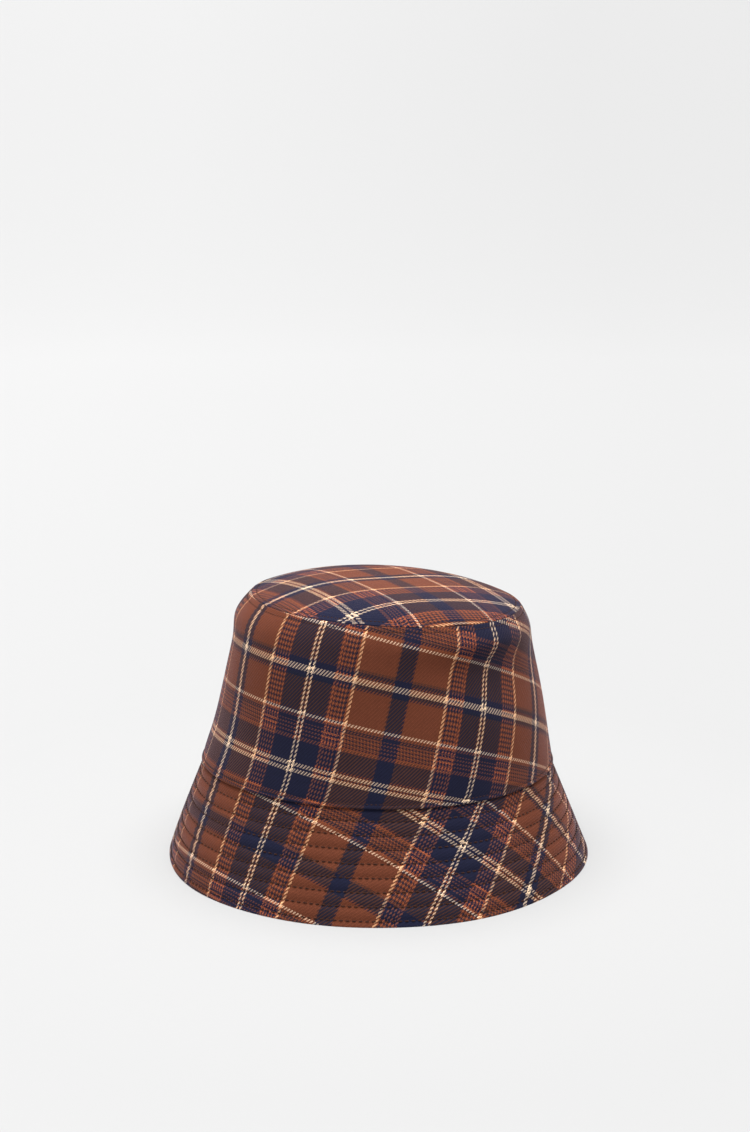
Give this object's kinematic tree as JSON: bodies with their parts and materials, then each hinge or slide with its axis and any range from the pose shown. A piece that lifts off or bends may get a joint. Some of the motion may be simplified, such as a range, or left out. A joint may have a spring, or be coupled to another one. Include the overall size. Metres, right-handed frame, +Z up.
{
  "type": "bucket hat",
  "caption": "Lined bucket hat in checked twill with an oval tip, a one-piece crown side, a stitched flared brim, a sweatband and hanging inside labels.",
  "frame": {"origin": "centre of the brim's edge, on the surface that the hat stands on", "axes": "+Z up, the hat's front towards -Y, its right side as worn towards -X"},
  "size_m": [0.236, 0.237, 0.1542],
  "materials": {
    "check_twill": "brushed twill, woven check of rust brown, navy and cream",
    "stiffener": "woven interlining",
    "interfacing": "fused backing cloth",
    "lining": "plain woven cotton",
    "sweatband": "ribbed cotton tape",
    "thread": "matt spun polyester",
    "label_tape": "satin tape, blank"
  },
  "bodies": {
    "hat": {"crown_tip": "check_twill", "crown_side": "check_twill", "brim_upper": "check_twill", "brim_under": "check_twill", "brim_stiffener": "stiffener", "side_interfacing": "interfacing", "tip_interfacing": "interfacing", "lining_side": "lining", "lining_tip": "lining", "sweatband": "sweatband", "sweatband_stitch": "thread", "crown_hem_topstitch": "thread", "tip_seam_side_topstitch": "thread", "tip_seam_top_topstitch": "thread", "brim_stitch_row_1": "thread", "brim_stitch_row_2": "thread", "brim_stitch_row_3": "thread", "brim_stitch_row_4": "thread", "brim_stitch_row_5": "thread", "brim_stitch_row_6": "thread", "brim_stitch_row_7": "thread", "brim_stitch_row_8": "thread"},
    "care_label_flap": {"care_label": "label_tape"},
    "size_tab_flap": {"size_tab": "label_tape"}
  },
  "joints": [
    {"name": "care_label_swing", "type": "hinge", "parent": "hat", "child": "care_label_flap", "pos_m": [0, 0.07887, 0.13549], "axis": [1, 0, 0], "range_deg": [-95, 8]},
    {"name": "size_tab_swing", "type": "hinge", "parent": "hat", "child": "size_tab_flap", "pos_m": [0.03146, 0.07136, 0.136], "axis": [0.8929, -0.4503, 0], "range_deg": [-95, 8]}
  ]
}
